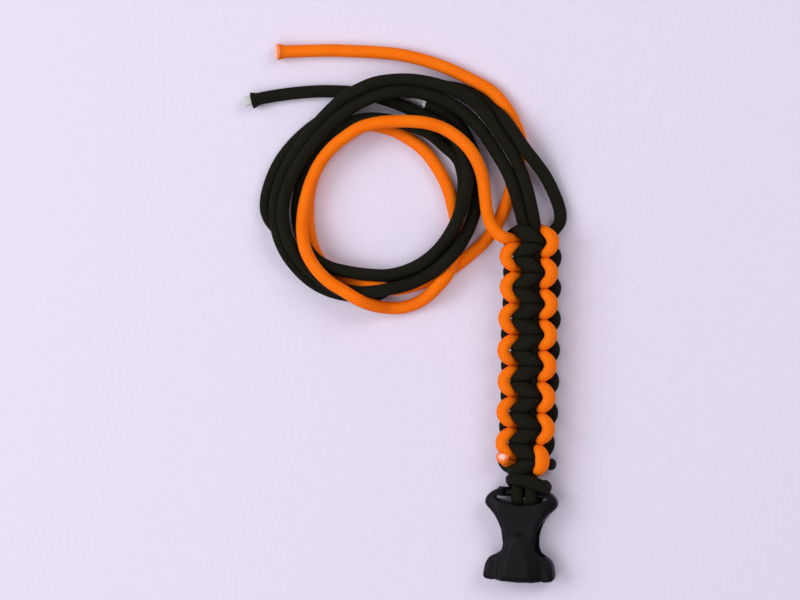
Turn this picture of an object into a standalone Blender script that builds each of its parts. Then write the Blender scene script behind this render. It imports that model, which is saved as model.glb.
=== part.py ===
"""A cobra-woven paracord strap hitched to the socket half of a side-release buckle.

The strap lies flat along +Y with its loose tails in a hand coil on its left. Three cords make
it: a dark core cord, halved and cow-hitched round the buckle's bar, and a black and an orange
working cord that are knotted round the two core strands. The strap bends upward at three places
between knots, and the buckle swings up about its bar.

Everything below is in millimetres until it is written to a mesh or a curve.
"""

import math

import bmesh
import bpy
from mathutils import Matrix, Vector

MM = 0.001

# Cords
TAIL_DIAMETER = 3.2
CORE_DIAMETER = 2.9
WOVEN_DEPTH = 3.2
WOVEN_FLATTENING = 0.62
GAP = 0.4

# The weave, in the strap's own frame: x across, y up the strap from the bar's axis
HALF_KNOT = 5.19
WEAVE_START = 2.5
WEAVE_HALF_WIDTH = 8.4
WEAVE_HALF_DEPTH = 3.4
WEAVE_SLANT = 0.5
WEAVE_SQUARENESS = 2.2
STEPS_PER_HALF_KNOT = 12
CORE_SPACING = 3.5
STRAP_MIDDLE_Z = 5.0
BLACK_RANGE = (0.6, 16.35)
ORANGE_RANGE = (0.8, 16.45)
CORE_TOP = 86.5
BEND_KNOTS = (4.5, 8.5, 12.5)
BEND_AXIS_Z = 10.4

# Where the strap sits: on the bar, leaning a little to the right
BAR_Y = -28.9
STRAP_X = 1.4
STRAP_LEAN = math.radians(1.29)

# The buckle socket
BUCKLE_THICKNESS = 9.0
BAR_Z = STRAP_MIDDLE_Z
BAR_RADIUS = 1.4
SLOT_HALF_WIDTH = 8.7
SLOT_HEIGHT = 3.8
MOUTH_Y = -59.4
MOUTH_HALF_WIDTH = 8.4
MOUTH_DEPTH = 21.0
WALL = 2.1
EDGE_ROUNDING = 1.7
HUMP_RISE = 0.7

# Right half of the buckle's outline, from the middle of its bar down to the middle of its mouth
BUCKLE_OUTLINE = (
    (0.0, -27.3), (5.0, -27.3), (9.4, -27.5), (11.5, -29.0), (12.3, -31.4), (11.2, -33.6),
    (9.4, -35.7), (7.6, -38.0), (6.5, -40.7), (6.0, -43.4), (6.0, -46.0), (6.6, -48.3),
    (8.0, -49.7), (9.7, -50.8), (11.0, -52.8), (11.5, -55.6), (11.5, -58.0), (10.6, -59.2),
    (6.0, -59.4), (0.0, -59.4),
)

# The raised arch on the socket's face, from its tip to the mouth, on the right
HUMP_OUTLINE = ((0.0, -43.2), (2.4, -44.8), (4.4, -48.2), (5.4, -52.4), (5.7, -56.0), (5.7, -58.6))

# Cow hitch: one side of the core cord, from its core strand round the bar to the front band
HITCH_SIDE = (
    (-1.75, 8.4, 5.0), (-1.8, 5.4, 5.4), (-1.95, 2.8, 7.0), (-2.1, 0.3, 8.15), (-2.2, -2.0, 7.4),
    (-2.5, -3.2, 5.0), (-3.3, -2.3, 2.8), (-4.2, -0.2, 1.8), (-4.9, 2.0, 2.5), (-5.2, 3.3, 4.6),
    (-5.0, 3.5, 7.0), (-4.0, 3.4, 9.4), (-2.2, 3.2, 10.5),
)
HITCH_MIDDLE = (0.0, 3.1, 10.7)

# Tails, as x, y, z in the object's frame: two turns of a loose hand coil on the strap's left
ORANGE_TAIL_ROUTE = (
    (-5.2, 59.4, 8.3), (-6.3, 61.8, 8), (-8, 64.1, 7.4), (-9.9, 66.5, 6.7), (-11.8, 69.3, 6.2),
    (-12.7, 73.7, 6.6), (-13.8, 78.3, 7.8),
    (-16.4, 83.3, 8.8), (-20.5, 87.5, 8.4), (-25.4, 90.7, 8), (-30.6, 92.5, 9.2), (-36, 93.2, 9.5),
    (-41.8, 93.3, 9.5), (-47.6, 92.9, 9.5), (-53.4, 91.5, 9.3), (-58.6, 88.5, 9),
    (-63.5, 84.7, 8.4), (-67.9, 80, 6.6), (-71, 74.3, 5.9), (-72.7, 69, 5.9), (-73.9, 63, 6),
    (-73.7, 57, 7.8), (-72, 50.7, 9.8), (-68.7, 45.1, 10.2), (-64.2, 40.5, 10), (-59, 37.3, 10),
    (-53.6, 34.2, 10.4), (-49.2, 32.4, 7), (-45.2, 31.7, 2.8), (-41, 31.8, 2), (-36.1, 33.2, 2.6),
    (-31.6, 35.7, 4.6), (-27.9, 39, 6), (-25.1, 42.3, 6), (-23.6, 45.3, 6.2), (-22.8, 48.7, 5),
    (-22.4, 52.3, 2.8), (-22.4, 56, 2), (-22.7, 60.7, 2), (-23.8, 65.3, 2), (-25, 70, 2),
    (-27, 74.7, 2), (-29.7, 79.2, 2), (-33.3, 83.7, 2), (-37.6, 87.2, 2), (-42.3, 90, 2),
    (-47.1, 91.7, 2), (-52.2, 91.8, 2), (-57, 90.3, 2), (-61.1, 87.3, 2), (-64.8, 83.5, 2),
    (-68.1, 78.7, 2), (-70.3, 73.7, 2), (-71.3, 67.7, 2), (-71.5, 61, 2), (-70.8, 55, 2),
    (-68.9, 49.7, 2), (-65.5, 45, 2), (-60.7, 41.7, 2), (-55.1, 39.7, 2.7), (-50.6, 38.7, 5),
    (-45.6, 37.9, 5.9), (-41.4, 38, 4.9), (-37.4, 39, 2.6), (-32.1, 40.8, 2), (-26.3, 43.5, 2),
    (-21.9, 46.2, 2), (-17.5, 49.7, 2), (-13, 53.8, 2), (-9.3, 58.7, 2), (-6.6, 64, 2),
    (-4.7, 69.3, 2), (-2.8, 75, 2), (-1.3, 81, 2), (-1.1, 87, 2), (-3.2, 93, 2), (-6.5, 98.6, 2),
    (-10.9, 103.4, 2), (-17.8, 107.3, 2), (-25.6, 111.1, 2), (-33.5, 113.9, 2), (-41.3, 115.8, 2),
    (-49.2, 116.8, 2), (-57, 117.3, 2), (-64.8, 117.7, 2), (-72.7, 117.7, 2), (-81.2, 117.6, 2),
)
LEFT_CORE_TAIL_ROUTE = (
    (1.6, 58, 5), (1.1, 60.4, 5), (0.1, 63.7, 5.3), (-1.6, 69.7, 5.9), (-4, 75.7, 5.9),
    (-7.2, 80.7, 5.6), (-11.1, 86.8, 5.4), (-14.9, 91.8, 5.4), (-19.6, 96.3, 5.4),
    (-25.1, 99.8, 5.4), (-30.7, 102, 5.6), (-35.9, 103, 6.6), (-41, 103.2, 8.4),
    (-46.2, 102.3, 9.4), (-51.7, 100.5, 9.4), (-56.9, 97.8, 9), (-61.9, 94.2, 8.6),
    (-67.1, 89.3, 8.2), (-71.8, 84, 7.6), (-76, 78, 7.2), (-78.9, 72, 7), (-80.4, 65.7, 7.2),
    (-80, 59.7, 8.3), (-78, 53.3, 8), (-75, 48, 6.4), (-70.8, 43.7, 5.9), (-66.4, 40.3, 5.9),
    (-62, 38, 5.9), (-57.5, 37.2, 6), (-53.2, 36.8, 7.6), (-48.7, 37.1, 9.4), (-44.1, 37.8, 10),
    (-39.9, 38.7, 8.6), (-35.9, 40.2, 6.6), (-30.8, 42.8, 6.4), (-25.5, 46.2, 9.4),
    (-21.3, 50.5, 9.4), (-18.5, 55.7, 6.8), (-16.7, 61.3, 4), (-15.5, 67, 2.4), (-15.1, 72.3, 2),
    (-15.4, 77.3, 2), (-16.8, 83, 2), (-19.2, 88.2, 2), (-22.2, 92.8, 2), (-27, 97, 2),
    (-32.5, 99.5, 2),
)
RIGHT_CORE_TAIL_ROUTE = (
    (5.2, 58, 5), (4.9, 60.6, 5), (4.1, 64, 5.3), (2.6, 70, 5.8), (0.2, 76.3, 5.9), (-2.7, 82, 5.8),
    (-6.6, 88.3, 5.6), (-10.6, 93.8, 6.1), (-15, 98.8, 5.7), (-20.4, 102.5, 5.6), (-26.5, 105, 5.8),
    (-32.3, 106.5, 5.8), (-38, 107.2, 6.6), (-43.5, 107, 8), (-48.6, 106.1, 9.6), (-53.9, 104, 10),
    (-59.3, 101.2, 9), (-64.4, 97.3, 7.2), (-69.4, 92.5, 6), (-74.7, 86.3, 5.5), (-78.9, 80, 5),
    (-81.9, 73.7, 5.1), (-83.6, 67.3, 5), (-83.5, 61.3, 5.6), (-82.4, 55.7, 5.9), (-79.9, 49.7, 4.8),
    (-76.2, 44.5, 3.2), (-71.6, 40.3, 2.2), (-66.9, 37.8, 2), (-62.8, 36.5, 2), (-58.7, 35.8, 2),
    (-54.6, 35.6, 2), (-51.2, 35.7, 2), (-48.5, 36.4, 2), (-45.8, 38.3, 2), (-43, 40, 2),
    (-40.3, 41.8, 2), (-37.2, 43.6, 2), (-33.5, 45.5, 2), (-29.6, 48.8, 2.2), (-25.7, 53, 4.4),
    (-22.8, 57.3, 5.9), (-21.1, 62, 5.9), (-20.3, 66.7, 3.8), (-20.1, 71.3, 2.2), (-20.4, 76, 2),
    (-22.2, 81.2, 2), (-26.5, 85.3, 2.2), (-31.2, 89.5, 4.6), (-37.1, 92, 5.6), (-43.3, 93.7, 5.6),
    (-49.4, 94.5, 5.6), (-55.5, 94, 5.6), (-61.1, 91.5, 5.2), (-65.8, 87.2, 4.6), (-70.4, 82, 3),
    (-74, 76, 2), (-76.1, 70, 2), (-76.8, 64, 2), (-76, 58, 2.6), (-73.4, 52.3, 4.8),
    (-69.6, 48, 5.9), (-64.7, 45.2, 5.9), (-58.6, 43.7, 5.9), (-52.4, 42.8, 5.9),
    (-45.6, 42.5, 5.9), (-39.5, 43.7, 5.9), (-33.7, 46.3, 6), (-28.8, 49.8, 7.2), (-23.9, 55, 9.8),
    (-20.9, 60.3, 10), (-19.2, 65.7, 8.4), (-18.2, 71, 6.4), (-18, 76, 5.9), (-19.3, 82, 5.6),
    (-22.3, 87.2, 4.4), (-26.9, 91.5, 2.6), (-32.1, 94.9, 2), (-37.2, 97.3, 2), (-42, 99.4, 2),
    (-47.1, 101.2, 2), (-52.6, 102.7, 2), (-58, 103.6, 2), (-63.5, 104, 2), (-69.3, 104.1, 2),
    (-75.7, 103.8, 2), (-82.6, 103.1, 2), (-90.7, 101.4, 2),
)
BLACK_TAIL_ROUTE = (
    (11.3, 57, 1.9), (12.6, 58.6, 1.9), (13.3, 60.9, 1.9), (13, 64, 2), (11.2, 69, 2.2),
    (7.8, 75, 3), (4.3, 79.8, 4.8), (0.7, 84.5, 5.9), (-2.8, 89.7, 5.9), (-6.7, 94.4, 4.7),
    (-11.4, 98.1, 2.4), (-15.8, 101.5, 2), (-21.2, 104, 2), (-27, 105, 2), (-33.1, 105.2, 2),
    (-39.1, 105, 2.6), (-44.5, 104.7, 4.6), (-50, 103.5, 6), (-55.8, 101.5, 5.8),
    (-61.4, 98.8, 3.8), (-66.8, 95.2, 2.4), (-72, 90.8, 2), (-76.8, 86, 2), (-81, 80.3, 2),
    (-84.3, 74, 2), (-86.3, 68, 2), (-86.7, 63.7, 2), (-86, 60.3, 2), (-84.4, 57.8, 2),
)
TAIL_POINT_SPACING = 6.6

# Ends of the cords
YARN_DIAMETER = 2.2
YARN_LENGTH = 2.6
MELT_DIAMETER = 3.9
MELT_LENGTH = 2.4
START_END_DIAMETER = 2.6
START_END_LENGTH = 2.6


def material(name, colour, roughness):
    """A plain Principled material."""
    made = bpy.data.materials.new(name)
    made.use_nodes = True
    shader = made.node_tree.nodes["Principled BSDF"]
    shader.inputs["Base Color"].default_value = (*colour, 1.0)
    shader.inputs["Roughness"].default_value = roughness
    shader.inputs["Metallic"].default_value = 0.0
    made.diffuse_color = (*colour, 1.0)
    return made


def place(made, finish, axis=None):
    """Link an object, give it its material and hang it on its joint's empty."""
    bpy.context.collection.objects.link(made)
    made.data.materials.append(finish)
    if axis is not None:
        made.parent = axis
        made.location = -Vector(axis["local_origin"])
    return made


def joint_axis(name, location, lean, local_origin=(0.0, 0.0, 0.0)):
    """An empty on a joint's axis; its children keep the coordinates of their own frame."""
    axis = bpy.data.objects.new(name, None)
    bpy.context.collection.objects.link(axis)
    axis.location = Vector(location) * MM
    axis.rotation_euler.z = -lean
    axis["local_origin"] = [value * MM for value in local_origin]
    return axis


def to_world(point):
    """A point of the strap's frame in the object's frame."""
    turn = Matrix.Rotation(-STRAP_LEAN, 3, "Z")
    return turn @ Vector(point) + Vector((STRAP_X, BAR_Y, 0.0))


def smooth_route(route, spacing):
    """Points a set distance apart on a centripetal Catmull-Rom curve through a route."""
    knots = [Vector(point) for point in route]
    knots = [2 * knots[0] - knots[1], *knots, 2 * knots[-1] - knots[-2]]
    fine = []
    for index in range(1, len(knots) - 2):
        p0, p1, p2, p3 = knots[index - 1:index + 3]
        t1 = (p1 - p0).length ** 0.5
        t2 = t1 + (p2 - p1).length ** 0.5
        t3 = t2 + (p3 - p2).length ** 0.5
        for step in range(16):
            t = t1 + (t2 - t1) * step / 16
            a1 = p0.lerp(p1, t / t1)
            a2 = p1.lerp(p2, (t - t1) / (t2 - t1))
            a3 = p2.lerp(p3, (t - t2) / (t3 - t2))
            b1 = a1.lerp(a2, t / t2)
            b2 = a2.lerp(a3, (t - t1) / (t3 - t1))
            fine.append(b1.lerp(b2, (t - t1) / (t2 - t1)))
    fine.append(knots[-2])
    travelled = [0.0]
    for before, after in zip(fine, fine[1:]):
        travelled.append(travelled[-1] + (after - before).length)
    count = max(2, round(travelled[-1] / spacing))
    points = []
    place_at = 0
    for step in range(count + 1):
        wanted = travelled[-1] * step / count
        while place_at < len(fine) - 2 and travelled[place_at + 1] < wanted:
            place_at += 1
        stretch = travelled[place_at + 1] - travelled[place_at]
        points.append(fine[place_at].lerp(fine[place_at + 1], (wanted - travelled[place_at]) / stretch))
    return points


def tube(name, points, diameter, finish, axis=None, flattening=1.0, resolution=2):
    """A closed round cord through the points, flattened along y where it is woven."""
    curve = bpy.data.curves.new(name, "CURVE")
    curve.dimensions = "3D"
    curve.bevel_depth = diameter / 2 * MM
    curve.bevel_resolution = resolution
    curve.use_fill_caps = True
    spline = curve.splines.new("POLY")
    spline.points.add(len(points) - 1)
    for control, point in zip(spline.points, points):
        control.co = (point[0] * MM, point[1] * MM / flattening, point[2] * MM, 1.0)
    spline.use_smooth = True
    made = bpy.data.objects.new(name, curve)
    made.scale.y = flattening
    return place(made, finish, axis)


def weave_point(turn, side):
    """Where a working cord is after `turn` half knots; side is 1 for black and -1 for orange.

    Black crosses on the front at every whole turn and loops behind at the edges. Orange is its
    mirror image: it crosses on the back and shows on the front as the bumps at the edges.
    """
    angle = math.tau * turn
    depth = math.tanh(WEAVE_SQUARENESS * math.cos(angle)) / math.tanh(WEAVE_SQUARENESS)
    return (
        side * WEAVE_HALF_WIDTH * math.sin(math.pi * turn),
        WEAVE_START + HALF_KNOT * (turn - WEAVE_SLANT * math.sin(angle)),
        STRAP_MIDDLE_Z + side * WEAVE_HALF_DEPTH * depth,
    )


def woven_cord(name, side, start, end, finish, axis):
    """The stretch of a working cord that is woven in one bending length of the strap."""
    steps = max(2, round((end - start) * STEPS_PER_HALF_KNOT))
    points = [weave_point(start + (end - start) * step / steps, side) for step in range(steps + 1)]
    return tube(name, points, WOVEN_DEPTH, finish, axis, WOVEN_FLATTENING)


def outline_ring(outline, spacing):
    """A closed clockwise ring of points from the right half of a symmetric outline."""
    half = smooth_route([(x, y, 0.0) for x, y in outline], spacing)
    left = [Vector((-point.x, point.y, 0.0)) for point in reversed(half) if point.x > 0.01]
    return half + left


def pulled_in(ring, inset):
    """A clockwise ring moved in from its edge."""
    count = len(ring)
    moved = []
    for index, point in enumerate(ring):
        along = (ring[(index + 1) % count] - ring[index - 1]).normalized()
        moved.append(point - Vector((-along.y, along.x, 0.0)) * inset)
    return moved


def body_from_rings(name, rings):
    """A closed mesh from stacked rings, capped at both ends."""
    mesh = bmesh.new()
    loops = []
    for ring, height in rings:
        loops.append([mesh.verts.new((point.x * MM, point.y * MM, height * MM)) for point in ring])
    for lower, upper in zip(loops, loops[1:]):
        for index in range(len(lower)):
            following = (index + 1) % len(lower)
            mesh.faces.new((lower[index], lower[following], upper[following], upper[index]))
    mesh.faces.new(list(reversed(loops[0])))
    mesh.faces.new(loops[-1])
    bmesh.ops.recalc_face_normals(mesh, faces=mesh.faces)
    data = bpy.data.meshes.new(name)
    mesh.to_mesh(data)
    mesh.free()
    return bpy.data.objects.new(name, data)


def box(name, low, high, rounding=0.0, along=None):
    """A box between two corners, with its edges along one axis rounded."""
    mesh = bmesh.new()
    bmesh.ops.create_cube(mesh, size=1.0)
    for vertex in mesh.verts:
        for axis in range(3):
            middle = (low[axis] + high[axis]) / 2
            vertex.co[axis] = (middle + vertex.co[axis] * (high[axis] - low[axis])) * MM
    if rounding:
        edges = [
            edge for edge in mesh.edges
            if abs((edge.verts[0].co - edge.verts[1].co).normalized()[along]) > 0.9
        ]
        bmesh.ops.bevel(mesh, geom=edges, offset=rounding * MM, segments=4, affect="EDGES", profile=0.5)
    data = bpy.data.meshes.new(name)
    mesh.to_mesh(data)
    mesh.free()
    made = bpy.data.objects.new(name, data)
    bpy.context.collection.objects.link(made)
    return made


def combine(target, other, operation):
    """Cut or join one mesh with another, and drop the other."""
    modifier = target.modifiers.new(operation.lower(), "BOOLEAN")
    modifier.operation = operation
    modifier.object = other
    bpy.context.view_layer.update()
    evaluated = target.evaluated_get(bpy.context.evaluated_depsgraph_get())
    result = bpy.data.meshes.new_from_object(evaluated)
    target.modifiers.remove(modifier)
    target.data = result
    bpy.data.objects.remove(other)


def bar_cylinder():
    """The round bar that the cow hitch holds."""
    mesh = bmesh.new()
    turn = Matrix.Rotation(math.pi / 2, 4, "Y")
    bmesh.ops.create_cone(
        mesh, cap_ends=True, segments=20, radius1=BAR_RADIUS * MM, radius2=BAR_RADIUS * MM,
        depth=2 * (SLOT_HALF_WIDTH + 1.0) * MM,
        matrix=Matrix.Translation((0.0, BAR_Y * MM, BAR_Z * MM)) @ turn,
    )
    data = bpy.data.meshes.new("bar")
    mesh.to_mesh(data)
    mesh.free()
    made = bpy.data.objects.new("bar", data)
    bpy.context.collection.objects.link(made)
    return made


def buckle_socket(finish, axis):
    """The female half: rounded shell, open mouth and side windows, slot and bar."""
    top = BUCKLE_THICKNESS
    outline = outline_ring(BUCKLE_OUTLINE, 1.0)
    levels = ((0.0, EDGE_ROUNDING), (0.35, 0.8), (1.1, 0.2), (2.2, 0.0))
    rings = [(pulled_in(outline, inset), height) for height, inset in levels]
    rings += [(ring, top - height) for ring, height in reversed(rings)]
    body = body_from_rings("buckle_socket", rings)
    bpy.context.collection.objects.link(body)

    hump_outline = outline_ring(HUMP_OUTLINE, 1.2)
    hump_levels = ((top - 1.5, 0.0), (top + 0.2, 0.0), (top + HUMP_RISE, 0.6))
    hump = body_from_rings("hump", [(pulled_in(hump_outline, inset), z) for z, inset in hump_levels])
    bpy.context.collection.objects.link(hump)
    combine(body, hump, "UNION")

    slot_top = BAR_Y
    slot_low = BAR_Y - BAR_RADIUS - SLOT_HEIGHT
    slot = box(
        "slot", (-SLOT_HALF_WIDTH, slot_low, -1.0), (SLOT_HALF_WIDTH, BAR_Y + 4.0, top + 2.0), 1.2, 2
    )
    combine(body, slot, "DIFFERENCE")
    combine(body, bar_cylinder(), "UNION")

    mouth = box(
        "mouth", (-MOUTH_HALF_WIDTH, MOUTH_Y - 2.0, WALL),
        (MOUTH_HALF_WIDTH, MOUTH_Y + MOUTH_DEPTH, top - WALL), 0.9, 1,
    )
    combine(body, mouth, "DIFFERENCE")
    body.data.shade_smooth()
    body.data.set_sharp_from_angle(angle=math.radians(35))
    bpy.context.collection.objects.unlink(body)
    return place(body, finish, axis)


def rounded_end(name, centre, toward, diameter, length, finish, axis=None):
    """A short round-nosed plug on the end of a cord."""
    along = Vector(toward).normalized()
    mesh = bmesh.new()
    bmesh.ops.create_uvsphere(mesh, u_segments=12, v_segments=8, radius=0.5)
    size = Matrix.Diagonal((diameter * MM, diameter * MM, length * MM, 1.0))
    turn = Vector((0.0, 0.0, 1.0)).rotation_difference(along).to_matrix().to_4x4()
    shift = Matrix.Translation(Vector(centre) * MM)
    bmesh.ops.transform(mesh, matrix=shift @ turn @ size, verts=mesh.verts)
    for face in mesh.faces:
        face.smooth = True
    data = bpy.data.meshes.new(name)
    mesh.to_mesh(data)
    mesh.free()
    return place(bpy.data.objects.new(name, data), finish, axis)


def tail(name, route, finish):
    """A loose tail of cord, and the point and direction of its free end."""
    points = smooth_route(route, TAIL_POINT_SPACING)
    tube(name, points, TAIL_DIAMETER, finish)
    return points[-1], (points[-1] - points[-2]).normalized()


def strap_segments(black, orange, core):
    """The four bending lengths of the strap and the cow hitch, hung on their joint axes."""
    bends = [WEAVE_START + HALF_KNOT * knot for knot in BEND_KNOTS]
    axes = [
        joint_axis(
            f"strap_bend_{number}_axis", (*to_world((0.0, y, 0.0)).xy, BEND_AXIS_Z), STRAP_LEAN,
            (0.0, y, BEND_AXIS_Z),
        )
        for number, y in enumerate(bends, start=1)
    ]
    top_frame = joint_axis("strap_top_frame", (STRAP_X, BAR_Y, 0.0), STRAP_LEAN)
    axes.append(top_frame)
    trim = GAP / 2 / (HALF_KNOT * (1 + math.tau * WEAVE_SLANT))
    knots = (None, *BEND_KNOTS, None)
    for number, axis in enumerate(axes, start=1):
        below = knots[number - 1]
        above = knots[number]
        for name, side, limits, finish in (
            ("black", 1, BLACK_RANGE, black),
            ("orange", -1, ORANGE_RANGE, orange),
        ):
            start = limits[0] if below is None else below + trim
            end = limits[1] if above is None else above - trim
            woven_cord(f"{name}_knots_{number}", side, start, end, finish, axis)
        if below is None:
            continue
        low = bends[number - 2] + GAP / 2
        high = CORE_TOP if above is None else bends[number - 1] - GAP / 2
        for hand, x in (("left", -CORE_SPACING / 2), ("right", CORE_SPACING / 2)):
            ends = ((x, low, STRAP_MIDDLE_Z), (x, high, STRAP_MIDDLE_Z))
            tube(f"core_strand_{hand}_{number}", ends, CORE_DIAMETER, core, axis)

    left = [(-CORE_SPACING / 2, bends[0] - GAP / 2, STRAP_MIDDLE_Z), *HITCH_SIDE]
    right = [(-x, y, z) for x, y, z in reversed(left)]
    hitch = smooth_route([*left, HITCH_MIDDLE, *right], 1.6)
    tube("cow_hitch", hitch, CORE_DIAMETER, core, axes[0])
    for name, side, limits, finish in (
        ("black", 1, BLACK_RANGE, black),
        ("orange", -1, ORANGE_RANGE, orange),
    ):
        start = Vector(weave_point(limits[0], side))
        back = (start - Vector(weave_point(limits[0] + 0.02, side))).normalized()
        centre = start + back * (START_END_LENGTH / 2 + GAP)
        rounded_end(
            f"{name}_start_melted_end", centre, back, START_END_DIAMETER, START_END_LENGTH,
            finish, axes[0],
        )


def build():
    """Clear the scene and make every node."""
    for old in list(bpy.data.objects):
        bpy.data.objects.remove(old)
    plastic = material("black_acetal", (0.012, 0.012, 0.013), 0.42)
    black = material("black_nylon", (0.028, 0.03, 0.026), 0.85)
    core = material("core_nylon", (0.034, 0.035, 0.03), 0.85)
    orange = material("orange_nylon", (0.92, 0.3, 0.03), 0.7)
    yarn = material("white_yarn", (0.85, 0.83, 0.78), 0.9)
    melted = material("melted_nylon", (0.9, 0.52, 0.3), 0.4)

    swing = joint_axis("buckle_swing_axis", (0.0, BAR_Y, BAR_Z), 0.0, (0.0, BAR_Y, BAR_Z))
    buckle_socket(plastic, swing)
    strap_segments(black, orange, core)

    end, along = tail("orange_tail", ORANGE_TAIL_ROUTE, orange)
    centre = end + along * (MELT_LENGTH / 2 + GAP)
    rounded_end("orange_tail_melted_end", centre, along, MELT_DIAMETER, MELT_LENGTH, melted)
    for name, route, finish in (
        ("core_tail_left", LEFT_CORE_TAIL_ROUTE, core),
        ("core_tail_right", RIGHT_CORE_TAIL_ROUTE, core),
        ("black_tail", BLACK_TAIL_ROUTE, black),
    ):
        end, along = tail(name, route, finish)
        centre = end + along * (YARN_LENGTH / 2 + GAP)
        rounded_end(f"{name}_yarns", centre, along, YARN_DIAMETER, YARN_LENGTH, yarn)


build()
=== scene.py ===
"""Looks for the cobra-woven cord strap on a buckle socket: braided cords pressed together, a
moulded buckle, melted and cut cord ends, a pale floor and soft light."""

import math

import bmesh
import bpy
import numpy as np
from mathutils import Matrix, Vector, kdtree, noise


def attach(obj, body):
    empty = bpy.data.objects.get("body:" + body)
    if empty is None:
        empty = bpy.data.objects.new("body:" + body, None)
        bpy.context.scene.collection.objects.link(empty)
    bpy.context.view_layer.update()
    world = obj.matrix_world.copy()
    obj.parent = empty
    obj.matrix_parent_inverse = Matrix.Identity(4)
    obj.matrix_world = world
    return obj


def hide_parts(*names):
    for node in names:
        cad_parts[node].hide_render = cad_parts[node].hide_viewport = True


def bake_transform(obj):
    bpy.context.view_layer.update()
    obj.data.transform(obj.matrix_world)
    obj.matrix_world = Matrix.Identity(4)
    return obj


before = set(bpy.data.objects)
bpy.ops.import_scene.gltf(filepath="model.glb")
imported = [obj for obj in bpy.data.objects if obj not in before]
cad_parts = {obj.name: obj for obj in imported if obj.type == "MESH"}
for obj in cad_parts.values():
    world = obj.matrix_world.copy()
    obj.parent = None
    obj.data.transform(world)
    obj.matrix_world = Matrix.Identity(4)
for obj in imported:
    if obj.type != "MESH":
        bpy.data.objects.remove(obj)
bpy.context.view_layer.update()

MM = 0.001

# The weave, in the strap's own frame: x across, y up the strap from the bar's axis, in millimetres
HALF_KNOT = 5.11
WEAVE_START = 3.3
WEAVE_SLANT = 0.5
WEAVE_SQUARENESS = 2.2
WEAVE_HALF_WIDTH = 6.9
WEAVE_HALF_DEPTH = 3.35
STEPS_PER_HALF_KNOT = 60
STRAP_MIDDLE_Z = 5.0
BAR_Y = -28.9
STRAP_X = 1.2
STRAP_LEAN = math.radians(1.29)
CORE_X = 1.75
CORE_TOP = 84.0
BLACK_START, BLACK_END = 0.75, 16.3
ORANGE_START, ORANGE_END = 0.85, 16.2
SPLITS = (6.5, 10.5)
CORD_RADIUS = 1.93
LYING_HALF_WIDTH = 2.12
GIRTH = 2 * math.pi * CORD_RADIUS
RING_SPACING = 0.5
STRANDS_ROUND, STRANDS_PER_GIRTH = 12.0, 9.6

# Where the camera stands: straight above, leaning a little to the right
VIEW_CENTRE = (-0.0421, 0.0343, 0.0)
VIEW_LEAN = math.radians(12.0)
VIEW_DISTANCE = 1.0

# The four loose tails, in the object's frame: places along each cord as it lies, in millimetres
ORANGE_TAIL_ROUTE = (
    (-10.1, 59.5, 7.8), (-11.3, 62.9, 6.8), (-12.1, 68.3, 6.3), (-12.7, 73.7, 6.6), (-13.8, 78.3, 7.8),
    (-16.4, 83.3, 8.8), (-20.5, 87.5, 8.4), (-25.4, 90.7, 8), (-30.6, 92.5, 9.2), (-36, 93.2, 9.5),
    (-41.8, 93.3, 9.5), (-47.6, 92.9, 9.5), (-53.4, 91.5, 9.3), (-58.6, 88.5, 9),
    (-63.5, 84.7, 8.4), (-67.9, 80, 6.6), (-71, 74.3, 5.9), (-72.7, 69, 5.9), (-73.9, 63, 6),
    (-73.7, 57, 7.8), (-72, 50.7, 9.8), (-68.7, 45.1, 10.2), (-64.2, 40.5, 10), (-59, 37.3, 10),
    (-53.6, 34.2, 10.4), (-49.2, 32.4, 7), (-45.2, 31.7, 2.8), (-41, 31.8, 2), (-36.1, 33.2, 2.6),
    (-31.6, 35.7, 4.6), (-27.9, 39, 6), (-25.1, 42.3, 6), (-23.6, 45.3, 6.2), (-22.8, 48.7, 5),
    (-22.4, 52.3, 2.8), (-22.4, 56, 2), (-22.7, 60.7, 2), (-23.8, 65.3, 2), (-25, 70, 2),
    (-27, 74.7, 2), (-29.7, 79.2, 2), (-33.3, 83.7, 2), (-37.6, 87.2, 2), (-42.3, 90, 2),
    (-47.1, 91.7, 2), (-52.4, 92.6, 2), (-57.5, 91.4, 2), (-62.0, 88.5, 2), (-66.1, 84.5, 2),
    (-69.7, 79.4, 2), (-72, 74.1, 2), (-73.1, 67.9, 2), (-73.2, 60.8, 2), (-72.3, 54.6, 2),
    (-70, 48.9, 2), (-66.2, 44.3, 2), (-60.7, 41.7, 2), (-55.1, 39.7, 2.7), (-50.6, 38.7, 5),
    (-45.6, 37.9, 5.9), (-41.4, 38, 4.9), (-37.4, 39, 2.6), (-32.1, 40.8, 2), (-26.3, 43.5, 2),
    (-21.9, 46.2, 2), (-17.5, 49.7, 2), (-13, 53.8, 2), (-9.3, 58.7, 2), (-6.6, 64, 2),
    (-4.7, 69.3, 2), (-2.8, 75, 2), (-1.3, 81, 2), (-1.1, 87, 2), (-3.2, 93, 2), (-6.5, 98.6, 2),
    (-10.9, 103.4, 2), (-17.8, 107.3, 2), (-25.6, 111.1, 2), (-33.5, 113.9, 2), (-41.3, 115.8, 2),
    (-49.2, 116.8, 2), (-57, 117.3, 2), (-64.8, 117.7, 2), (-72.7, 117.7, 2.1), (-78.5, 117.6, 2.4),
    (-83.2, 117.5, 3.0),
)
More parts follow.
